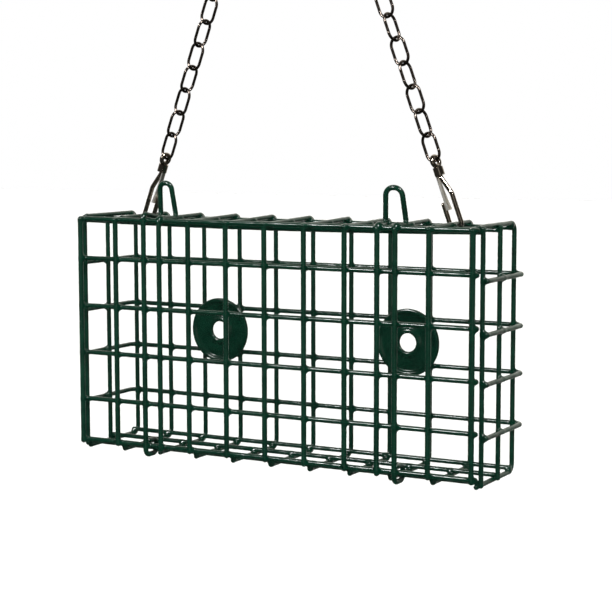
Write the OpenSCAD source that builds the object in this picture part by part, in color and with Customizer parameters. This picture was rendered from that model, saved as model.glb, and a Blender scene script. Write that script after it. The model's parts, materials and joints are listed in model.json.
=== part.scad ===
// Hanging two-cake suet feeder: a welded, vinyl-dipped wire basket whose whole front is a door.
// Frame: X along the basket, Y from the door to the back, Z up, origin at the hanging point,
// which is the top of the inside of the S-hook's upper bend.

/* [Basket] */
// Distance between the two end cross wires
basket_w = 247; // [225:1:270]
// Distance from the door's upright wires to the basket's back wires
basket_d = 55.9; // [52:0.1:62]
// Height of the cross wires' top run above the basket's datum
top_z = 66.2; // [62:0.1:72]
// Height of the cross wires' bottom run
bottom_z = -69.2; // [-73:0.1:-66]
// Diameter of the coated basket wire
basket_wire = 2.6; // [2.2:0.1:2.8]
// How far the front ends of the top runs hang down at mid width
top_sag = 1.5; // [0.5:0.1:2]
// Depth of the front rails behind the door's uprights
front_y = 7.6; // [7.6:0.1:8.4]
// Depth of the middle rails
middle_y = 30.3; // [29:0.1:33]
// Heights of the four wires that run round the sides and back
band_z = [38.7, 10.8, -15.1, -43.2];

/* [Washers] */
// Outside diameter of the mounting washers
washer_d = 38; // [34:1:42]
// Diameter of the screw hole
screw_hole = 10.4; // [6:0.2:11]
// Height of the washers' centres
washer_z = -2.2; // [-4:0.1:0]

/* [Door] */
// Diameter of the coated door wire
door_wire = 2.9; // [2.6:0.1:3.0]
// Diameter of the coated door rails
rail_wire = 2.7; // [2.4:0.1:2.8]
// Heights of the door's six rails
rail_z = [64.9, 42.0, 14.3, -13.1, -40.5, -64.7];
// Distance between the two legs of a hairpin
hairpin_w = 10.5; // [9.5:0.1:11.5]
// Height of the finger loops' top
loop_top_z = 85.8; // [78:0.1:92]
// Depth of the left finger loop
left_loop_y = 18.3; // [12:0.1:20]
// Depth of the right finger loop
right_loop_y = 12.2; // [11.4:0.1:20]
// Bend radius of the left finger loop
left_loop_r = 3.7; // [3:0.1:5]
// Bend radius of the right finger loop
right_loop_r = 4.6; // [3:0.1:5]
// How much higher the left loop's outer leg leaves the door's front
left_lift = 2.3; // [0:0.1:2.5]

/* [Hanging] */
// Height of the chains' meeting point over the cross wires that carry them
chain_h = 270; // [250:1:290]
// Number of links in each chain
links_n = 18; // [17:1:19]
// Diameter of the link wire
link_wire = 1.65; // [1.2:0.05:1.7]
// Outside width of a link
link_w = 10.6; // [9.5:0.1:11]
// Overall length of a snap hook
snap_len = 43.5; // [43:0.5:46]
// Diameter of the snap hook's wire
snap_wire = 2.6; // [2.4:0.1:2.6]
// Turn of the left snap hook about its chain
left_twist = -100; // [-100:1:-80]
// Turn of the right snap hook about its chain
right_twist = 80; // [80:1:100]

/* [S-hook] */
// Diameter of the S-hook's wire
hook_wire = 3.2; // [3:0.1:3.4]
// Inside radius of the upper bend, which goes over a bracket or branch
hook_top_r = 7.4; // [7:0.1:10]
// Inside radius of the lower bend, which holds the chains
hook_low_r = 4.9; // [4.9:0.1:6]
// Distance between the centres of the two bends
hook_span = 26; // [24:0.5:32]

/* [Hidden] */

green = [0.06, 0.22, 0.15];
black_nickel = [0.16, 0.15, 0.15];
nickel = [0.72, 0.70, 0.66];
gap = 0.3;                                    // room between parts that move past each other
sink = 0.2;                                   // how far crossing wires are pressed into each other
ball_gap = 0.06;                              // room between a straight part and a bend
$fn = 32;

pitch = basket_w / 10;                        // spacing of the cross wires and uprights
half_w = basket_w / 2;
cross = basket_wire - sink;                   // spacing of two basket wires that cross
post_x = half_w + cross;
band_x = post_x + cross;                      // side runs of the bands, outside the posts
band_y = basket_d + cross;                    // back runs of the bands
rail_y = (door_wire + rail_wire) / 2 - sink;  // door rails, behind the uprights
top_rail_z = top_z - cross;                   // rails under the top runs
low_rail_z = bottom_z + cross;                // rails on the bottom runs
tip_y = front_y - 1.4;                        // front ends of the top runs
low_tip_y = front_y - 0.7;                    // and of the bottom runs, which the door swings past
bend_r = 4.5;                                 // bend of the cross wires, on the wire's centre
back_rail_y = basket_d - bend_r;              // back rails, where the cross wires' bends begin
washer_t = 2.2;
washer_lip = 0.5;                             // how far rim and hole edge stand out of the washer

hook_top_c = -hook_top_r;                     // centre of the S-hook's upper bend
hook_low_c = hook_top_c - hook_span;          // and of its lower bend, where the chains meet
// The snap hooks hang on the second cross wire from each end, just behind the middle rail
snap_x = 4 * pitch;
hook_y = middle_y + (basket_wire + snap_wire) / 2 + 1.4;
basket_z = hook_low_c - chain_h - top_z + sag(snap_x) * run_share(hook_y);
lean = atan(snap_x / chain_h);                // lean of the chains from the vertical
chain_len = norm([snap_x, chain_h]);          // meeting point to cross wire

function unit(v) = v / norm(v);
function run(p, i) = unit(p[i + 1] - p[i]);
function turn(p, i) = acos(min(1, run(p, i - 1) * run(p, i)));
function setback(p, r, i) = i == 0 || i == len(p) - 1 ? 0 : r[i] * tan(turn(p, i) / 2);
function same(r, p) = [for (q = p) r];
// Share of the sag that the sloping top runs have at depth y, and the full sag at x
function run_share(y) = (basket_d - y) / (basket_d - tip_y);
function sag(x) = top_sag * (1 - pow(x / half_w, 2));

module frame(o, ex, ey) {
    ez = cross(ex, ey);
    multmatrix([[ex.x, ey.x, ez.x, o.x], [ex.y, ey.y, ez.y, o.y], [ex.z, ey.z, ez.z, o.z]])
        children();
}

// A straight rod from a to b, with either end rounded
module rod(a, b, d, round_a = true, round_b = true) {
    axis = unit(b - a);
    side = unit(cross(abs(axis.x) > 0.9 ? [0, 0, 1] : [1, 0, 0], axis));
    frame(a, side, cross(axis, side)) {
        cylinder(h = norm(b - a), d = d);
        if (round_a) mirror([0, 0, 1]) dome(d);
        if (round_b) translate([0, 0, norm(b - a)]) dome(d);
    }
}

// Half a ball: the rounded end that the coating leaves on a cut wire
module dome(d) {
    rotate_extrude() intersection() {
        circle(d = d);
        square(d);
    }
}

// A bent wire through the points p, with the bend radii r at its inner points.
// Straight parts stop just short of the bends, and a ball a hair thicker than the wire joins them.
module wire(p, r, d, round_start = true, round_end = true) {
    last = len(p) - 1;
    for (i = [0:last - 1]) {
        u = run(p, i);
        a = p[i] + u * (i == 0 ? 0 : setback(p, r, i) + ball_gap);
        b = p[i + 1] - u * (i == last - 1 ? 0 : setback(p, r, i + 1) + ball_gap);
        rod(a, b, d, round_start && i == 0, round_end && i == last - 1);
    }
    for (i = [1:last - 1]) {
        u = run(p, i - 1);
        v = run(p, i);
        n = unit(v - (u * v) * u);
        start = p[i] - u * setback(p, r, i);
        frame(start + n * r[i], -n, u)
            rotate_extrude(angle = turn(p, i), $fn = 96) translate([r[i], 0]) circle(d = d, $fn = 32);
        ball(start, d);
        ball(p[i] + v * setback(p, r, i), d);
    }
}

module ball(o, d) { translate(o) sphere(d = d + 0.08); }

// A rail along X between -x and x that hangs in a shallow arc
module bowed_rail(x, drop, d) {
    radius = (x * x + drop * drop) / (2 * drop);
    half_angle = asin(x / radius);
    translate([0, 0, radius - drop]) rotate([90, 0, 0]) rotate([0, 0, 270 - half_angle])
        rotate_extrude(angle = 2 * half_angle, $fn = 3600) translate([radius, 0]) circle(d = d, $fn = 32);
}

module in_basket() { translate([0, -hook_y, basket_z]) children(); }

// ---- Basket ----
module cross_wire(i) {
    x = (i - 5) * pitch;
    p = [[x, tip_y, top_z - sag(x)], [x, basket_d, top_z], [x, basket_d, bottom_z], [x, low_tip_y, bottom_z]];
    color(green) in_basket() wire(p, same(bend_r, p), basket_wire);
}

module band_wire(z) {
    p = [[band_x, front_y, z], [band_x, band_y, z], [-band_x, band_y, z], [-band_x, front_y, z]];
    color(green) in_basket() wire(p, same(bend_r, p), basket_wire);
}

module top_rail(y) {
    color(green) in_basket() translate([0, y, top_rail_z])
        bowed_rail(post_x - cross / 2, top_sag * run_share(y), basket_wire);
}

module straight_rail(y, z, x) {
    color(green) in_basket() rod([-x, y, z], [x, y, z], basket_wire);
}

module post(side, y) {
    x = side * post_x;
    color(green) in_basket() rod([x, y, bottom_z + 0.8], [x, y, top_z - 0.8], basket_wire);
}

// A coated washer, turned up at its rim and round its hole, on the inside of the back wires
module washer(side) {
    color(green) in_basket()
        translate([side * 2.5 * pitch, basket_d - basket_wire / 2 + sink / 2, washer_z])
        rotate([90, 0, 0]) difference() {
            union() {
                cylinder(h = washer_t, d = washer_d, $fn = 96);
                washer_ring(washer_d / 2 - 1.6, washer_d / 2);
                washer_ring(screw_hole / 2, screw_hole / 2 + 1.6);
            }
            translate([0, 0, -1]) cylinder(h = washer_t + washer_lip + 2, d = screw_hole, $fn = 64);
        }
}

module washer_ring(r_in, r_out) {
    translate([0, 0, washer_t - 0.1]) difference() {
        cylinder(h = washer_lip + 0.1, r = r_out, $fn = 96);
        translate([0, 0, -1]) cylinder(h = washer_lip + 3, r = r_in, $fn = 96);
    }
}

// ---- Door ----
module door_rail(z) {
    x = half_w + 1.2;
    color(green) in_basket() rod([-x, rail_y, z], [x, rail_y, z], rail_wire);
}

module door_upright(i) {
    x = (i - 5) * pitch;
    color(green) in_basket()
        rod([x, 0, rail_z[5] - rail_wire / 2 + 0.8], [x, 0, rail_z[0] + (rail_wire - door_wire) / 2], door_wire);
}

// One wire: up the front, over the top rail, up into a finger loop, and back down the same way.
// The outer leg ends in the hinge eye round the hinge rail.
eye_back_y = front_y + basket_wire / 2 + gap + 0.15 + door_wire / 2;
eye_low_z = low_rail_z - basket_wire / 2 - gap - 0.25 - door_wire / 2;
eye_top_z = rail_z[5] + (rail_wire + door_wire) / 2 - sink / 2;
eye_r = 3.5;
over_z = rail_z[0] + (rail_wire + door_wire) / 2 - 1.1;      // the legs are pressed well into the top rail
module hairpin(side, loop_y, loop_r, lift) {
    x_mid = side * 3 * pitch;
    // The loop's feet stay clear of the front top rail as the door turns about the hinge rail
    clear_r = top_rail_z - sag(x_mid) + (basket_wire + door_wire) / 2 + gap + 0.1 - low_rail_z;
    foot_z = low_rail_z + sqrt(pow(clear_r, 2) - pow(loop_y - front_y, 2));
    function leg(s, z) = [[x_mid + s * hairpin_w / 2, 0, z], [x_mid + s * (loop_r + 1.6), loop_y, foot_z],
                          [x_mid + s * loop_r, loop_y - 3.2, loop_top_z]];
    function reversed(p) = [for (k = [len(p) - 1:-1:0]) p[k]];
    x_out = x_mid + side * hairpin_w / 2;
    eye = [[x_out, door_wire + 0.2, eye_top_z], [x_out, eye_back_y, eye_top_z],
           [x_out, eye_back_y, eye_low_z], [x_out, 0, eye_low_z]];
    end = [x_mid - side * hairpin_w / 2, 0, rail_z[5] - 0.6];
    leg_r = [rail_y, 2.8, loop_r];
    color(green) in_basket()
        wire(concat(eye, leg(side, over_z + lift), reversed(leg(-side, over_z)), [end]),
             concat([0, 3, eye_r, eye_r], leg_r, reversed(leg_r), [0]), door_wire);
}

// ---- Hanging hardware ----
// Children are drawn down the chain's line: w along it from the meeting point, as -Z
module on_chain(side, twist = 0) {
    translate([0, 0, hook_low_c]) rotate([0, -side * lean, 0]) rotate([0, 0, twist]) children();
}

chain_top = hook_low_r - link_wire / 2 - gap;            // centre of the first link's top end
eye_ring_r = 2.7;                                        // snap hook's eye, on the wire's centre
bow_low = chain_len + (basket_wire + snap_wire) / 2 + gap;   // lowest point of the hook's bend
snap_top = bow_low + snap_wire / 2 - snap_len;
eye_c = snap_top + snap_wire / 2 + eye_ring_r;
chain_low = eye_c - eye_ring_r + (snap_wire + link_wire) / 2 + 0.1;
link_pitch = (chain_low - chain_top - link_wire) / links_n;
link_end_r = (link_w - link_wire) / 2;
link_straight = link_pitch + 0.1 + link_wire - 2 * link_end_r;
bottom_link_turn = -16;

module link() {
    for (s = [-1, 1]) {
        translate([0, s * link_end_r, ball_gap - link_straight / 2])
            cylinder(h = link_straight - 2 * ball_gap, d = link_wire, $fn = 24);
        translate([0, 0, s * link_straight / 2]) rotate([0, 90, 0]) rotate([0, 0, s > 0 ? 90 : -90])
            rotate_extrude(angle = 180, $fn = 64) translate([link_end_r, 0]) circle(d = link_wire, $fn = 24);
        for (t = [-1, 1]) ball([0, s * link_end_r, t * link_straight / 2], link_wire);
    }
}

module chain(side) {
    color(black_nickel) on_chain(side) for (k = [0:links_n - 1])
        translate([0, 0, -(chain_top + link_wire / 2 + (k + 0.5) * link_pitch)])
        rotate([0, 0, 90 * k + bottom_link_turn * k / (links_n - 1)]) link();
}

hook_half = 3.6;                                         // half width of the hook, on the wire's centre
collar_top = eye_c + eye_ring_r + 0.6;
collar_len = 4.6;
collar_low = collar_top + collar_len;
nose_top = chain_len - 12;
gate_top = collar_low - 1.4;
gate_low = nose_top + 3.6;
gate_t = 0.5;
gate_w = 3.4;
collar_d = 5.6;
gate_root_y = snap_wire / 2 + gap + gate_t / 2;          // the strip beside the stem
gate_tip_y = hook_half - snap_wire / 2 - gap - gate_t / 2;   // and against the nose

module snap_body(side, twist) {
    p = [[0, 0, -eye_c - eye_ring_r], [0, 0, -collar_low - 1], [0, -hook_half, -collar_low - 11],
         [0, -hook_half, -bow_low], [0, hook_half, -bow_low], [0, hook_half, -nose_top]];
    color(nickel) {
        on_chain(side, twist) wire(p, [0, 5, 5, hook_half - 0.2, hook_half - 0.2, 0], snap_wire, false, true);
        // The eye stands across the last link
        on_chain(side, bottom_link_turn) translate([0, 0, -eye_c]) rotate([0, 90, 0])
            rotate_extrude($fn = 64) translate([eye_ring_r, 0]) circle(d = snap_wire, $fn = 32);
    }
}

module snap_collar(side, twist) {
    color(nickel) on_chain(side, twist) difference() {
        translate([0, 0, -collar_low]) cylinder(h = collar_len, d = collar_d, $fn = 48);
        translate([0, 0, -collar_low - 1]) cylinder(h = collar_len + 2, d = snap_wire, $fn = 48);
        translate([-gate_w / 2 - gap, gate_root_y - gate_t / 2 - gap, -collar_low - 1])
            cube([gate_w + 2 * gap, gate_t + 2 * gap, 1 + 1.4 + gap]);
    }
}

module snap_gate(side, twist) {
    slope = atan((gate_tip_y - gate_root_y) / (gate_low - gate_top));
    color(nickel) on_chain(side, twist) translate([0, gate_root_y, -gate_top]) rotate([slope, 0, 0])
        translate([-gate_w / 2, -gate_t / 2, gate_top - gate_low]) cube([gate_w, gate_t, gate_low - gate_top]);
}

module s_hook() {
    r_top = hook_top_r + hook_wire / 2;
    r_low = hook_low_r + hook_wire / 2;
    spine = asin((r_top + r_low) / hook_span);           // lean of the straight part
    // The spine leaves each bend at the tangent points
    a = [r_top * cos(spine), 0, hook_top_c - r_top * sin(spine)];
    b = [-r_low * cos(spine), 0, hook_low_c + r_low * sin(spine)];
    color(nickel) {
        along = unit(a - b) * ball_gap;
        rod(b + along, a - along, hook_wire, false, false);
        ball(a, hook_wire);
        ball(b, hook_wire);
        hook_bend(r_top, hook_top_c, -spine, 215 + spine);
        hook_bend(r_low, hook_low_c, 180 - spine, 205 + spine);
    }
}

// Part of a bend about the centre at height z, from one angle through a sweep, its far end rounded
module hook_bend(r, z, from, sweep) {
    translate([0, 0, z]) rotate([90, 0, 0]) rotate([0, 0, from]) {
        rotate_extrude(angle = sweep, $fn = 96) translate([r, 0]) circle(d = hook_wire, $fn = 32);
        rotate([0, 0, sweep]) translate([r, 0, 0]) rotate([-90, 0, 0]) dome(hook_wire);
    }
}

for (i = [0:10]) cross_wire(i);
for (i = [1:4]) band_wire(band_z[i - 1]);
top_rail(front_y);  // front_top_rail
straight_rail(front_y, low_rail_z, post_x - cross / 2 - 1.2);  // hinge_rail
top_rail(middle_y);  // middle_top_rail
straight_rail(middle_y, low_rail_z, post_x - cross / 2 - 1.2);  // middle_bottom_rail
straight_rail(back_rail_y, top_rail_z, half_w - 0.2);  // back_top_rail
straight_rail(back_rail_y, low_rail_z, half_w - 0.2);  // back_bottom_rail
post(-1, front_y);  // front_left_post
post(1, front_y);  // front_right_post
post(-1, middle_y);  // middle_left_post
post(1, middle_y);  // middle_right_post
washer(-1);  // left_washer
washer(1);  // right_washer
for (i = [0:5]) door_rail(rail_z[i]);
for (i = [0:10]) if (i != 2 && i != 8) door_upright(i);
hairpin(-1, left_loop_y, left_loop_r, left_lift);  // left_hairpin
hairpin(1, right_loop_y, right_loop_r, 0);  // right_hairpin
chain(-1);  // left_chain
chain(1);  // right_chain
snap_body(-1, left_twist);  // left_snap_body
snap_body(1, right_twist);  // right_snap_body
snap_collar(-1, left_twist);  // left_snap_collar
snap_collar(1, right_twist);  // right_snap_collar
snap_gate(-1, left_twist);  // left_snap_gate
snap_gate(1, right_twist);  // right_snap_gate
s_hook();
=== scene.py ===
"""Hanging two-cake suet feeder: its vinyl-dipped wires, chains and snap hooks, around the CAD frame."""
import json
import math
import random

import bpy
import numpy as np
from mathutils import Matrix, Vector


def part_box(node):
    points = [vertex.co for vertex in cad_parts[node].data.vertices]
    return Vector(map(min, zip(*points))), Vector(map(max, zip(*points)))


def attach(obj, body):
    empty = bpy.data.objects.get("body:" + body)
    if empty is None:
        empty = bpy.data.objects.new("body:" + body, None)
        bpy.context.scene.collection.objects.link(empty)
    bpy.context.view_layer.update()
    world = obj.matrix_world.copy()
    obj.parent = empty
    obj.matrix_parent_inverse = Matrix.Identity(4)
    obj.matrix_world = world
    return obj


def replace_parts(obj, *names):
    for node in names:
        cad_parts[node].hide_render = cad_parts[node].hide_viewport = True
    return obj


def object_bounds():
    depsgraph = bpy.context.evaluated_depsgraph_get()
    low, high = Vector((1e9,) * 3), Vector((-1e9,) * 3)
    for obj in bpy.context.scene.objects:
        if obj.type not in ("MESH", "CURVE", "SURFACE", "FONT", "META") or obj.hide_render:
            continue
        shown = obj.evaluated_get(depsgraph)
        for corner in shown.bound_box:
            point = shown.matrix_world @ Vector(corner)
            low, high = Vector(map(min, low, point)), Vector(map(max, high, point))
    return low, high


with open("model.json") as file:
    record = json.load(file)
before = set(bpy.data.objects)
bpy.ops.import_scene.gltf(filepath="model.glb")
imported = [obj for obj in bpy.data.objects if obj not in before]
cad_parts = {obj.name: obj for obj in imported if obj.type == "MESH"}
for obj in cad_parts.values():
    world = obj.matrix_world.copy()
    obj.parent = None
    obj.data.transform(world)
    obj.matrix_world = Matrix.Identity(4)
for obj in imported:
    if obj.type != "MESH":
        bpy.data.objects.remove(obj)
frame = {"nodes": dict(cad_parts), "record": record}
cad_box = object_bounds()
nodes = frame["nodes"]

MM = 0.001
X, Z = Vector((1, 0, 0)), Vector((0, 0, 1))
CROSS_WIRES = [f"cross_wire_{i}" for i in range(11)]
BANDS = [f"band_wire_{i}" for i in range(1, 5)]
BOWED_RAILS = ["front_top_rail", "middle_top_rail"]
STRAIGHT_RAILS = ["hinge_rail", "middle_bottom_rail", "back_top_rail", "back_bottom_rail"]
POSTS = ["front_left_post", "front_right_post", "middle_left_post", "middle_right_post"]
DOOR_RAILS = [f"door_rail_{i}" for i in range(6)]
UPRIGHTS = [f"door_upright_{i}" for i in (0, 1, 3, 4, 5, 6, 7, 9, 10)]


# ---- Node materials ----
def new_material(name):
    mat = bpy.data.materials.new(name)
    mat.use_nodes = True
    return mat, mat.node_tree, mat.node_tree.nodes["Principled BSDF"]


def noise(tree, scale, detail=3.0, rough=0.55):
    """A noise in the object's own coordinates, at so many features a metre."""
    where = tree.nodes.new("ShaderNodeTexCoord")
    tex = tree.nodes.new("ShaderNodeTexNoise")
    tex.inputs["Scale"].default_value = scale
    tex.inputs["Detail"].default_value = detail
    tex.inputs["Roughness"].default_value = rough
    tree.links.new(where.outputs["Object"], tex.inputs["Vector"])
    return tex.outputs["Fac"]


def ramp(tree, fac, stops):
    """The factor as a colour, from stops of a place and a colour."""
    node = tree.nodes.new("ShaderNodeValToRGB")
    while len(node.color_ramp.elements) < len(stops):
        node.color_ramp.elements.new(0.5)
    for element, (place, colour) in zip(node.color_ramp.elements, stops):
        element.position = place
        element.color = (*colour, 1)
    tree.links.new(fac, node.inputs["Fac"])
    return node.outputs["Color"]


def spread(tree, fac, low, high):
    """The factor's middle range, mapped to low..high."""
    node = tree.nodes.new("ShaderNodeMapRange")
    node.inputs["From Min"].default_value = 0.3
    node.inputs["From Max"].default_value = 0.7
    node.inputs["To Min"].default_value = low
    node.inputs["To Max"].default_value = high
    tree.links.new(fac, node.inputs["Value"])
    return node.outputs["Result"]


def bump(tree, shader, layers):
    """Bumps of several heights in metres, each one resting on the one before."""
    last = None
    for fac, height in layers:
        node = tree.nodes.new("ShaderNodeBump")
        node.inputs["Strength"].default_value = 1.0
        node.inputs["Distance"].default_value = height
        tree.links.new(fac, node.inputs["Height"])
        if last:
            tree.links.new(last, node.inputs["Normal"])
        last = node.outputs["Normal"]
    tree.links.new(last, shader.inputs["Normal"])


def vinyl_material():
    """Thick dipped vinyl: dark green, wet-looking, with a little orange peel and slow waves in its skin."""
    mat, tree, shader = new_material("dipped_vinyl")
    tone = ramp(tree, noise(tree, 90), [(0.3, (0.0006, 0.0145, 0.0076)), (0.5, (0.0009, 0.0185, 0.0098)),
                                        (0.7, (0.0013, 0.0230, 0.0121))])
    tree.links.new(tone, shader.inputs["Base Color"])
    tree.links.new(spread(tree, noise(tree, 350), 0.15, 0.23), shader.inputs["Roughness"])
    shader.inputs["IOR"].default_value = 1.5
    bump(tree, shader, [(noise(tree, 90, 1.0), 0.00055), (noise(tree, 260, 1.5), 0.00008),
                        (noise(tree, 1300, 2.0), 0.000008)])
    return mat


def plated_material(name, dark, light, rough, waves=0.00003):
    """Plated wire: bright, with uneven polish and faint stains."""
    mat, tree, shader = new_material(name)
    tree.links.new(ramp(tree, noise(tree, 260), [(0.35, dark), (0.65, light)]), shader.inputs["Base Color"])
    tree.links.new(spread(tree, noise(tree, 900), *rough), shader.inputs["Roughness"])
    shader.inputs["Metallic"].default_value = 1.0
    bump(tree, shader, [(noise(tree, 420, 1.5), waves), (noise(tree, 4000, 2.0), 0.000002)])
    return mat


VINYL = vinyl_material()
BLACK_NICKEL = plated_material("black_plate", (0.09, 0.075, 0.065), (0.18, 0.15, 0.13), (0.12, 0.24))
NICKEL = plated_material("nickel_plate", (0.34, 0.29, 0.24), (0.52, 0.46, 0.40), (0.05, 0.14))
STRIP = plated_material("rolled_strip", (0.86, 0.83, 0.77), (0.95, 0.93, 0.88), (0.34, 0.46), 0.00001)
ZINC = plated_material("zinc_plate", (0.44, 0.45, 0.47), (0.62, 0.63, 0.65), (0.22, 0.38))
MATERIALS = {"green_vinyl": VINYL, "black_nickel": BLACK_NICKEL, "bright_nickel": NICKEL,
             "spring_strip": STRIP, "zinc": ZINC}


def smooth(obj):
    obj.data.polygons.foreach_set("use_smooth", [True] * len(obj.data.polygons))


def finish_cad_nodes():
    for part in frame["record"]["subparts"]:
        node = nodes[part["node"]]
        node.data.materials.clear()
        node.data.materials.append(MATERIALS[part["material_slot"]])


# ---- Mesh helpers ----
class Mesh:
    """Points and faces gathered from many pieces into one."""

    def __init__(self):
        self.points, self.faces, self.count = [], [], 0

    def add(self, points, faces):
        self.points.append(np.asarray(points, float).reshape(-1, 3))
        self.faces += [tuple(int(k) + self.count for k in face) for face in faces]
        self.count += len(self.points[-1])

    def made(self, name, body, material):
        """The gathered piece as an object that rides on a body, kept inside the CAD's box."""
        low, high = np.array(cad_box[0]), np.array(cad_box[1])
        points = np.clip(np.concatenate(self.points), low, high)
        mesh = bpy.data.meshes.new(name)
        mesh.from_pydata([tuple(p) for p in points], [], self.faces)
        mesh.validate()
        mesh.materials.append(material)
        obj = bpy.data.objects.new(name, mesh)
        bpy.context.scene.collection.objects.link(obj)
        smooth(obj)
        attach(obj, body)
        return obj


def tube_faces(rings, size):
    """The quads between rings of points that follow one another."""
    faces = []
    for j in range(rings - 1):
        for k in range(size):
            n = (k + 1) % size
            faces.append((j * size + k, j * size + n, (j + 1) * size + n, (j + 1) * size + k))
    return faces


def grid_of(half, step):
    """The coordinates of a grid round the origin, its half sizes at least as large as asked."""
    count = np.ceil(2 * half / step).astype(int) + 1
    return np.meshgrid(*(-half[k] + step * np.arange(count[k]) for k in range(3)), indexing="ij")


def surface_net(field, low, step):
    """A quad mesh where a grid of distances changes sign, open only where it leaves the grid."""
    shape = np.array(field.shape)
    cells = tuple(shape - 1)
    corners = [(a, b, c) for a in (0, 1) for b in (0, 1) for c in (0, 1)]
    at = {c: field[c[0]:c[0] + cells[0], c[1]:c[1] + cells[1], c[2]:c[2] + cells[2]] for c in corners}
    total, hits = np.zeros(cells + (3,)), np.zeros(cells)
    for a in corners:
        for axis in range(3):
            if a[axis]:
                continue
            b = tuple(a[k] + (k == axis) for k in range(3))
            cut = (at[a] < 0) != (at[b] < 0)
            share = np.where(cut, at[a] / np.where(cut, at[a] - at[b], 1), 0)
            for k in range(3):
                total[..., k] += cut * (a[k] + (share if k == axis else 0))
            hits += cut
    active = hits > 0
    index = np.full(cells, -1)
    index[active] = np.arange(active.sum())
    where = np.argwhere(active)
    points = low + step * (where + total[active] / hits[active][:, None])
    quads = []
    for axis in range(3):
        u, v = [k for k in range(3) if k != axis]
        first = field[tuple(slice(0, -1) if k == axis else slice(None) for k in range(3))] < 0
        second = field[tuple(slice(1, None) if k == axis else slice(None) for k in range(3))] < 0
        edge = np.argwhere(first != second)
        edge = edge[(edge[:, u] > 0) & (edge[:, v] > 0) & (edge[:, u] < cells[u]) & (edge[:, v] < cells[v])]
        ring = []
        for du, dv in ((1, 1), (0, 1), (0, 0), (1, 0)):
            cell = edge.copy()
            cell[:, u] -= du
            cell[:, v] -= dv
            ring.append(index[tuple(cell.T)])
        quad = np.stack(ring, 1)
        outward = first[tuple(edge.T)] == (axis != 1)
        quads.append(np.where(outward[:, None], quad, quad[:, ::-1]))
    return points, np.concatenate(quads)


def joined(a, b, fill):
    """Two distance fields run together, with a fillet that fills the corner between them."""
    blend = np.maximum(fill - np.abs(a - b), 0) / fill
    return np.minimum(a, b) - blend ** 2 * fill / 4


# ---- Centrelines of the wires ----
class Wire:
    """A wire's name, its radius and the points of its centreline."""

    def __init__(self, name, radius, points, open_ends=(True, True)):
        self.name, self.radius = name, radius
        self.points = [Vector(p) for p in points]
        self.open_ends = open_ends


WIRE_R = (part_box("middle_bottom_rail")[1].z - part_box("middle_bottom_rail")[0].z) / 2
DOOR_RAIL_R = (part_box("door_rail_1")[1].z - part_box("door_rail_1")[0].z) / 2
UPRIGHT_R = (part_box("door_upright_5")[1].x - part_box("door_upright_5")[0].x) / 2
LOOP_X = 3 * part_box("cross_wire_6")[1].x - 3 * WIRE_R    # three pitches from the middle, where the loops are
TIP_SETBACK = 0.7 * MM                       # the bottom runs end this much further back than the top ones
BEND_R = 4.5 * MM                            # bends of the basket's wires
HAIRPIN_W = 10.5 * MM                        # between the two legs of a hairpin
HAIRPIN_SINK = 1.1 * MM                      # how far they are pressed into the door's top rail
HAIRPIN_RUN = 9 * MM                         # how far back over the rail their vinyl is worked out
LEFT_LIFT = 2.3 * MM                         # how much higher the left loop's outer leg leaves the front
RAIL_POINTS = 25                             # along a bowed rail
BEND_STEP = 0.26                             # radians, the longest turn between two points of a bend


def bent(points, radius):
    """A centreline through the points, its corners rounded to the radius."""
    points = [Vector(p) for p in points]
    found = [points[0]]
    for before, corner, after in zip(points, points[1:], points[2:]):
        u, v = (corner - before).normalized(), (after - corner).normalized()
        turn = u.angle(v)
        inward = (v - u * u.dot(v)).normalized()
        start = corner - u * radius * math.tan(turn / 2)
        count = max(2, math.ceil(turn / BEND_STEP))
        for k in range(count + 1):
            t = turn * k / count
            found.append(start + inward * radius * (1 - math.cos(t)) + u * radius * math.sin(t))
    return found + [points[-1]]


def rail_drop(x):
    """How far the front ends of the top runs hang below their back ends at x."""
    rail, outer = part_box("front_top_rail"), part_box("cross_wire_0")
    full, middle = rail[1].z - WIRE_R, rail[0].z + WIRE_R
    half = (outer[0].x + outer[1].x) / 2
    return (full - middle) * (1 - (x / half) ** 2)


def basket_wires():
    """The basket's wires, in the order of the lists of names."""
    found = []
    for name in CROSS_WIRES:
        low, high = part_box(name)
        x, back = (low.x + high.x) / 2, high.y - WIRE_R
        top, bottom, front = high.z - WIRE_R, low.z + WIRE_R, low.y + WIRE_R
        path = [(x, front, top - rail_drop(x)), (x, back, top), (x, back, bottom),
                (x, front + TIP_SETBACK, bottom)]
        found.append(Wire(name, WIRE_R, bent(path, BEND_R)))
    for name in BANDS:
        low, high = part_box(name)
        side, front, back, z = high.x - WIRE_R, low.y + WIRE_R, high.y - WIRE_R, (low.z + high.z) / 2
        path = [(side, front, z), (side, back, z), (-side, back, z), (-side, front, z)]
        found.append(Wire(name, WIRE_R, bent(path, BEND_R)))
    for name in BOWED_RAILS:
        low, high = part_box(name)
        end, y, z, drop = high.x, (low.y + high.y) / 2, high.z - WIRE_R, high.z - low.z - 2 * WIRE_R
        path = [(x, y, z - drop * (1 - (x / end) ** 2)) for x in np.linspace(-end, end, RAIL_POINTS)]
        found.append(Wire(name, WIRE_R, path))
    for name in STRAIGHT_RAILS + POSTS:
        low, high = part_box(name)
        middle = (low + high) / 2
        way = X if name in STRAIGHT_RAILS else Z
        reach = (high - low).dot(way) / 2 - WIRE_R
        found.append(Wire(name, WIRE_R, [middle - way * reach, middle + way * reach]))
    return found


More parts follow.
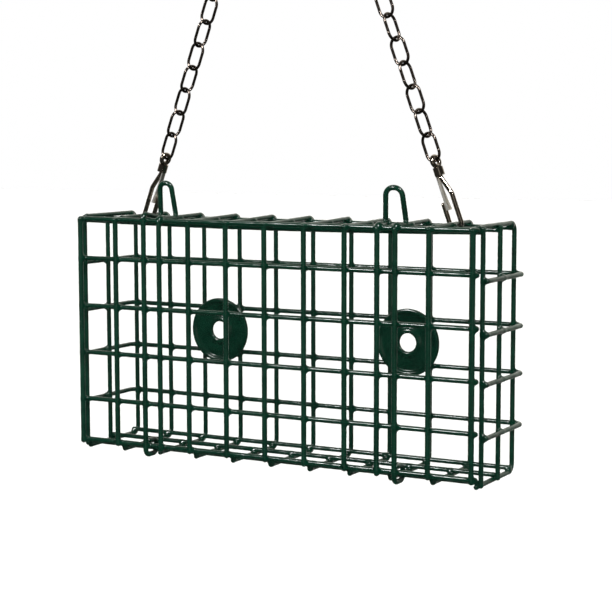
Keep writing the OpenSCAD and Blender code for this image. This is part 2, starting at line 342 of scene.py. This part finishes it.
def door_wires():
    """The door's wires; only its uprights have open ends with beads of vinyl."""
    found = []
    for name in DOOR_RAILS + UPRIGHTS:
        low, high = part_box(name)
        middle = (low + high) / 2
        way, radius = (X, DOOR_RAIL_R) if name in DOOR_RAILS else (Z, UPRIGHT_R)
        reach = (high - low).dot(way) / 2 - radius
        found.append(Wire(name, radius, [middle - way * reach, middle + way * reach], [name in UPRIGHTS] * 2))
    rails = [w.points[0] for w in found[:len(DOOR_RAILS)]]
    front = found[-1].points[0].y
    over = rails[0].z + DOOR_RAIL_R + UPRIGHT_R - HAIRPIN_SINK
    for name, side in (("left_hairpin", -1), ("right_hairpin", 1)):
        for leg in (-1, 1):
            x = side * LOOP_X + leg * HAIRPIN_W / 2
            lift = LEFT_LIFT if side == leg == -1 else 0
            path = [(x, front, rails[-1].z - DOOR_RAIL_R), (x, front, over + lift),
                    (x, front + HAIRPIN_RUN, over + lift / 2)]
            found.append(Wire(name, UPRIGHT_R, bent(path, rails[0].y - front), (False, False)))
    return found


PARALLEL = 1e-14                             # m^4, below it two segments count as parallel
MOST_ALIKE = 0.7                             # cosine, wires that run more alike than this aren't welded
WELD_GAP = 0.2 * MM                          # the widest gap that vinyl still bridges
SAME_WELD = 3 * MM                           # crossings closer together than this are one weld


def closest(a, b, c, d):
    """The closest points of the segments a-b and c-d."""
    u, v, w = b - a, d - c, a - c
    uu, uv, vv, uw, vw = u.dot(u), u.dot(v), v.dot(v), u.dot(w), v.dot(w)
    area = uu * vv - uv * uv
    s = 0.5 if area < PARALLEL else min(1, max(0, (uv * vw - vv * uw) / area))
    t = min(1, max(0, (uv * s + vw) / vv))
    s = min(1, max(0, (uv * t - uw) / uu))
    return a + u * s, c + v * t


def crossings(wires):
    """Where two wires are welded: gap, both wires, their closest points and the first one's direction."""
    found = []
    for i, one in enumerate(wires):
        for other in wires[i + 1:]:
            if one.name == other.name:
                continue
            for a, b in zip(one.points, one.points[1:]):
                for c, d in zip(other.points, other.points[1:]):
                    if abs((b - a).normalized().dot((d - c).normalized())) > MOST_ALIKE:
                        continue
                    p, q = closest(a, b, c, d)
                    gap = (p - q).length
                    if 0 < gap < one.radius + other.radius + WELD_GAP:
                        found.append((gap, one, other, p, q, (b - a).normalized()))
    kept = []
    for cross in sorted(found, key=lambda c: c[0]):
        if all((cross[3] + cross[4] - k[3] - k[4]).length / 2 > SAME_WELD for k in kept):
            kept.append(cross)
    return kept


# ---- Vinyl at the crossings and the wires' ends ----
WEB_REACH = 3.6                              # mm along each wire
WEB_STEP = 0.4                               # mm, the web mesh's grid
WEB_MARGIN = 1.2                             # mm of grid beyond the wires
WEB_PATH = 8 * MM                            # the wires' stretches within this distance are used
TINY = 1e-6                                  # m, the length of a segment that stands for a point
WEB_FILLET = (1.8, 2.9)                      # mm, least and most
WEB_SWELL = (0.06, 0.14)                     # mm over the wire's own surface, least and most
UNDER_SKIN = 0.12                            # mm that a web's ends lie under the wire's own surface


def along(path, grid):
    """Each grid point's distance from the path, and how far along the path it is from the path's point
    next to the origin."""
    best = np.full(grid.shape[:-1], np.inf)
    where = np.zeros(grid.shape[:-1])
    start, home, near = 0.0, 0.0, np.inf
    for a, b in zip(path, path[1:]):
        u = b - a
        length = np.linalg.norm(u)
        t = np.clip((grid - a) @ u / length ** 2, 0, 1)
        distance = np.linalg.norm(grid - a - t[..., None] * u, axis=-1)
        closer = distance < best
        best = np.where(closer, distance, best)
        where = np.where(closer, start + t * length, where)
        t = min(1, max(0, -a @ u / length ** 2))
        if np.linalg.norm(a + t * u) < near:
            near, home = np.linalg.norm(a + t * u), start + t * length
        start += length
    return best, np.abs(where - home)


def web(paths, radii, offset, fill, swell):
    """The vinyl round one weld at the origin, in millimetres, one wire's path over the other's in Z."""
    half = np.array([WEB_REACH, WEB_REACH, max(radii) + offset / 2 + WEB_MARGIN])
    grid = np.stack(grid_of(half, WEB_STEP), -1)
    skins = []
    for path, radius in zip(paths, radii):
        distance, run = along(path, grid)
        near = np.clip(1 - run / WEB_REACH, 0, 1)
        rise = (swell + UNDER_SKIN) * np.sin(near * math.pi / 2) ** 1.5
        skins.append(distance - radius + UNDER_SKIN - rise)
    return surface_net(joined(*skins, fill), -half, WEB_STEP)


def stretch_near(wire, middle, up):
    """The points of a wire's centreline round the middle of a weld."""
    beside = middle + up * TINY
    near = [k for k, (a, b) in enumerate(zip(wire.points, wire.points[1:]))
            if (closest(a, b, middle, beside)[0] - middle).length < WEB_PATH]
    return wire.points[near[0]:near[-1] + 2]


def webs(name, body, wires, seed):
    """The vinyl at every weld, as one piece."""
    chance = random.Random(seed)
    mesh = Mesh()
    for gap, one, other, p, q, ahead in crossings(wires):
        up = (p - q).normalized()
        turn = np.array(Matrix((ahead, up.cross(ahead), up)))
        middle = (p + q) / 2
        paths = []
        for wire in (one, other):
            points = [turn @ np.array(point - middle) for point in stretch_near(wire, middle, up)]
            paths.append(np.array(points) / MM)
        points, faces = web(paths, (one.radius / MM, other.radius / MM), gap / MM,
                            chance.uniform(*WEB_FILLET), chance.uniform(*WEB_SWELL))
        mesh.add(points @ turn * MM + np.array(middle), faces)
    return mesh.made(name, body, VINYL)


BEAD_SIDES = 20
# A bead's rings in mm: the place along the wire, from its end, and the height over the wire's surface.
BEAD = [(-2.6, -0.06), (-2.0, 0.0), (-1.3, 0.07), (-0.6, 0.12), (0.0, 0.10)]
BEAD_FATNESS = (0.7, 1.3)                    # least and most, times those heights
NOSE_LIFT = 0.02 * MM                        # how much further than the wire's radius the round nose reaches
NOSE_ANGLES = np.linspace(0.2, 1.45, 7)      # radians, from the last ring to the tip


def beads(name, body, wires, seed):
    """The drop of vinyl that stays on each wire's end."""
    chance = random.Random(seed)
    mesh = Mesh()
    for wire in wires:
        ends = ((wire.points[0], wire.points[1]), (wire.points[-1], wire.points[-2]))
        for (tip, before), is_open in zip(ends, wire.open_ends):
            if not is_open:
                continue
            out = (tip - before).normalized()
            side = out.orthogonal().normalized()
            other = out.cross(side)
            fat = chance.uniform(*BEAD_FATNESS)
            rings = [(a * MM, wire.radius + r * fat * MM) for a, r in BEAD]
            nose = wire.radius + NOSE_LIFT
            belly = rings[-1][1]
            rings += [(nose * math.sin(t), belly * math.cos(t)) for t in NOSE_ANGLES]
            points = []
            for a, r in rings:
                for k in range(BEAD_SIDES):
                    t = 2 * math.pi * k / BEAD_SIDES
                    points.append(tip + out * a + side * (r * math.cos(t)) + other * (r * math.sin(t)))
            points.append(tip + out * nose)
            faces = tube_faces(len(rings), BEAD_SIDES)
            last = (len(rings) - 1) * BEAD_SIDES
            faces += [(last + k, last + (k + 1) % BEAD_SIDES, len(points) - 1) for k in range(BEAD_SIDES)]
            mesh.add([tuple(p) for p in points], faces)
    return mesh.made(name, body, VINYL)


# ---- Washers ----
WASHER_WIRES = {"left_washer": ("cross_wire_2", "cross_wire_3"),
                "right_washer": ("cross_wire_7", "cross_wire_8")}
WASHER_MARGIN = (1, 3, 1)                    # mm of grid beyond the washer, more behind it for the wires
SCREW_HOLE_R = 5.2                           # mm
RIM = 1.3                                    # mm, radius of the rolled rim and of the hole's lip
PLATE_BACK = 0.45                            # mm that the plate between them lies further back
PLATE_HALF = 0.8                             # mm, half its thickness
PLATE_TUCK = 1                               # mm that its edges end inside the rim and the lip
PLATE_FILLET = 1.6                           # mm, where it meets them
WIRE_FILLET = 2.2                            # mm, where the wires behind meet the washer
WASHER_STEP = 0.42                           # mm, the washer mesh's grid


def washer(name):
    """A washer with a rolled rim and a raised hole edge, run together with the two wires behind it."""
    low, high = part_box(name)
    middle = (low + high) / 2
    radius, depth = (high.x - low.x) / 2 / MM, (high.y - low.y) / 2 / MM
    half = np.array([radius, depth, radius]) + WASHER_MARGIN
    gx, gy, gz = grid_of(half, WASHER_STEP)
    out = np.hypot(gx, gz)
    plate = np.maximum(np.abs(out - (radius + SCREW_HOLE_R) / 2) - (radius - SCREW_HOLE_R) / 2 + PLATE_TUCK,
                       np.abs(gy - PLATE_BACK) - PLATE_HALF)
    rim = np.hypot(out - radius + RIM, gy) - RIM
    lip = np.hypot(out - SCREW_HOLE_R - RIM, gy) - RIM
    skin = joined(plate, np.minimum(rim, lip), PLATE_FILLET)
    for wire in WASHER_WIRES[name]:
        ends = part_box(wire)
        x = ((ends[0].x + ends[1].x) / 2 - middle.x) / MM
        y = (ends[1].y - WIRE_R - middle.y) / MM
        skin = joined(skin, np.hypot(gx - x, gy - y) - WIRE_R / MM + UNDER_SKIN, WIRE_FILLET)
    mesh = Mesh()
    points, faces = surface_net(skin, -half, WASHER_STEP)
    mesh.add(points * MM + np.array(middle), faces)
    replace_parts(mesh.made(name + "_coated", "basket", VINYL), name)


# ---- Snap hooks' gates ----
GATE_ROWS = 14
GATE_SKIN = 0.22 * MM                        # half the strip's thickness
RIDGE_WIDTH, RIDGE_BACK = 0.6, 1.7           # its raised back, of its half width and of its skin
ROOT_WIDTH, FLARE = 0.84, 0.16               # its width at the root and what it gains, of that at the tip
FOLD_ROOT, FOLD_GAIN = 0.25, 1.1             # mm, the folded edges' height at the root and what they gain


def own_axes(name):
    """A node's middle, and its axes and half sizes, the longest first."""
    points = np.array([nodes[name].matrix_world @ v.co for v in nodes[name].data.vertices])
    middle = (points.max(0) + points.min(0)) / 2
    axes = np.linalg.svd(points - points.mean(0))[2]
    return middle, axes, np.abs((points - middle) @ axes.T).max(0)


def gate_profile(wide, fold):
    """A section through the strip, from one folded edge round its slightly raised back to the other."""
    skin, inner = GATE_SKIN, wide - 2 * GATE_SKIN
    ridge, back = wide * RIDGE_WIDTH, -skin * RIDGE_BACK
    return [(-wide, fold), (-wide, -skin), (-ridge, back), (ridge, back), (wide, -skin),
            (wide, fold), (inner, fold), (inner, skin), (-inner, skin), (-inner, fold)]


def gate(name, body):
    """A springy strip with its edges folded in towards the stem, narrow at its root and flared at its tip."""
    middle, (down, across, through), (reach, half, _) = own_axes(name)
    down = down if down[2] < 0 else -down
    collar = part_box(name.replace("gate", "collar"))
    stem = np.array(collar[0] * 0.5 + collar[1] * 0.5)
    through = through if through @ (stem - middle) > 0 else -through
    points = []
    for k in range(GATE_ROWS + 1):
        t = k / GATE_ROWS
        profile = gate_profile(half * (ROOT_WIDTH + FLARE * t), (FOLD_ROOT + FOLD_GAIN * t * t) * MM)
        points += [middle + down * reach * (2 * t - 1) + across * a + through * b for a, b in profile]
    size = len(profile)
    faces = tube_faces(GATE_ROWS + 1, size)
    faces += [tuple(range(size))[::-1], tuple(GATE_ROWS * size + j for j in range(size))]
    mesh = Mesh()
    mesh.add(points, faces)
    obj = mesh.made(name + "_strip", body, STRIP)
    obj.data.polygons.foreach_set("use_smooth", [False] * len(obj.data.polygons))
    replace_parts(obj, name)


# ---- Studio ----
# Places are in metres, worked out from the door's front and the basket's middle.
BASKET_Y = (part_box("door_upright_5")[0].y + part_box("door_upright_5")[1].y) / 2
AIM_LIFT = 1.5 * MM                          # heights are taken from this far above the posts' middle
BASKET_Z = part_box("middle_left_post")[1].z / 2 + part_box("middle_left_post")[0].z / 2 + AIM_LIFT
CAMERA_PLACE = Vector((0.4587, BASKET_Y - 0.7792, BASKET_Z + 0.117))
CAMERA_TURN, CAMERA_DOWN, CAMERA_ROLL = math.radians(29.03), math.radians(6.114), math.radians(-0.096)
LENS, SENSOR = 97.72, 36                     # mm
NEAREST, FARTHEST = 0.05, 30                 # m, what the camera sees
PALE = 1.0                                   # how bright the backdrop looks, about as white as the lit floor
WARM = (0.85, 0.83, 0.76, 1)                 # the sky's colour
SKY = (((0, 0, 1), -1.1, -1.0, 0.05),        # direction, cosines where it starts and is full, strength
       ((0.5, -0.86, 0.05), 0.93, 0.99, 0.55),
       ((-0.3, 0.85, 0.5), 0.35, 0.95, 1.15))
SUN_SHINES = (-0.5, 0.5, -0.75)              # from the right front, high up
FLOOR_WHITE = (0.92, 0.92, 0.92, 1)
FLOOR_DROP, FLOOR_REACH = 0.4, 12            # m, under the feeder, and to each side


def camera():
    """The photograph's view: a long lens from the right front, a little above."""
    turn, down, roll = CAMERA_TURN, CAMERA_DOWN, CAMERA_ROLL
    data = bpy.data.cameras.new("camera")
    data.lens = LENS
    data.sensor_width = SENSOR
    data.clip_start = NEAREST
    data.clip_end = FARTHEST
    obj = bpy.data.objects.new("camera", data)
    bpy.context.scene.collection.objects.link(obj)
    ahead = Vector((-math.sin(turn) * math.cos(down), math.cos(turn) * math.cos(down), -math.sin(down)))
    right = Vector((math.cos(turn), math.sin(turn), 0))
    up = right.cross(ahead)
    rolled_right = right * math.cos(roll) + up * math.sin(roll)
    rolled_up = up * math.cos(roll) - right * math.sin(roll)
    axes = Matrix((rolled_right, rolled_up, -ahead)).transposed()
    obj.matrix_world = Matrix.Translation(CAMERA_PLACE) @ axes.to_4x4()
    bpy.context.scene.camera = obj


def sun_light(name, shines, energy, width):
    """A sun that shines in a direction, its disc so many degrees wide."""
    data = bpy.data.lights.new(name, "SUN")
    data.energy = energy
    data.angle = math.radians(width)
    obj = bpy.data.objects.new(name, data)
    bpy.context.scene.collection.objects.link(obj)
    obj.rotation_mode = "QUATERNION"
    obj.rotation_quaternion = Vector(shines).to_track_quat("-Z", "Y")
    return obj


def area_light(name, place, target, size, power):
    """A rectangular light at a place, turned to its target."""
    data = bpy.data.lights.new(name, "AREA")
    data.shape = "RECTANGLE"
    data.size, data.size_y = size
    data.energy = power
    obj = bpy.data.objects.new(name, data)
    bpy.context.scene.collection.objects.link(obj)
    aim = (Vector(target) - Vector(place)).to_track_quat("-Z", "Y")
    obj.matrix_world = Matrix.Translation(place) @ aim.to_matrix().to_4x4()


def sky(tree, towards, start, full, strength):
    """A soft glow in the sky round one direction, from the cosine where it starts to where it is full."""
    where = tree.nodes.new("ShaderNodeTexCoord")
    dot = tree.nodes.new("ShaderNodeVectorMath")
    dot.operation = "DOT_PRODUCT"
    dot.inputs[1].default_value = Vector(towards).normalized()
    tree.links.new(where.outputs["Generated"], dot.inputs[0])
    fade = tree.nodes.new("ShaderNodeMapRange")
    fade.interpolation_type = "SMOOTHSTEP"
    fade.inputs["From Min"].default_value = start
    fade.inputs["From Max"].default_value = full
    fade.inputs["To Max"].default_value = strength
    tree.links.new(dot.outputs["Value"], fade.inputs["Value"])
    return fade.outputs["Result"]


def surroundings():
    """A soft studio sky, which the camera sees as an even pale backdrop."""
    world = bpy.data.worlds.new("studio")
    world.use_nodes = True
    tree = world.node_tree
    backdrop = tree.nodes["Background"]
    backdrop.inputs["Color"].default_value = (1, 1, 1, 1)
    backdrop.inputs["Strength"].default_value = PALE
    light = tree.nodes.new("ShaderNodeBackground")
    light.inputs["Color"].default_value = WARM
    total = None
    for glow in SKY:
        part = sky(tree, *glow)
        if total:
            add = tree.nodes.new("ShaderNodeMath")
            tree.links.new(total, add.inputs[0])
            tree.links.new(part, add.inputs[1])
            part = add.outputs["Value"]
        total = part
    tree.links.new(total, light.inputs["Strength"])
    seen = tree.nodes.new("ShaderNodeLightPath")
    mix = tree.nodes.new("ShaderNodeMixShader")
    tree.links.new(seen.outputs["Is Camera Ray"], mix.inputs["Fac"])
    tree.links.new(light.outputs["Background"], mix.inputs[1])
    tree.links.new(backdrop.outputs["Background"], mix.inputs[2])
    tree.links.new(mix.outputs["Shader"], tree.nodes["World Output"].inputs["Surface"])
    bpy.context.scene.world = world


def pale_floor():
    low, reach = cad_box[0][2] - FLOOR_DROP, FLOOR_REACH
    corners = [(-reach, -reach, low), (reach, -reach, low), (reach, reach, low), (-reach, reach, low)]
    mesh = bpy.data.meshes.new("floor")
    mesh.from_pydata(corners, [], [(0, 1, 2, 3)])
    floor = bpy.data.objects.new("floor", mesh)
    floor.visible_glossy = False
    bpy.context.scene.collection.objects.link(floor)
    mat, _, shader = new_material("pale_floor")
    shader.inputs["Base Color"].default_value = FLOOR_WHITE
    shader.inputs["Roughness"].default_value = 1.0
    shader.inputs["Specular IOR Level"].default_value = 0.0
    mesh.materials.append(mat)


def studio():
    """A pale floor and a soft sky, a sun with its reflection set apart, and a small light from the left."""
    surroundings()
    pale_floor()
    sun_light("sun", SUN_SHINES, energy=3.8, width=24).visible_glossy = False
    sun_light("sparkle", SUN_SHINES, energy=2.6, width=15).visible_diffuse = False
    area_light("second", place=(-0.55, -1.15, BASKET_Z + 0.72), target=(0, 0, BASKET_Z), size=(0.22, 0.12),
               power=13)
    bpy.context.scene.view_settings.view_transform = "Standard"
    bpy.context.scene.view_settings.look = "None"


finish_cad_nodes()
basket = basket_wires()
door = door_wires()
webs("basket_weld_vinyl", "basket", basket, seed=3)
webs("door_weld_vinyl", "door", door, seed=5)
beads("basket_end_beads", "basket", basket, seed=7)
beads("door_end_beads", "door", door, seed=9)
for washer_name in WASHER_WIRES:
    washer(washer_name)
gate("left_snap_gate", "left_gate")
gate("right_snap_gate", "right_gate")
camera()
studio()
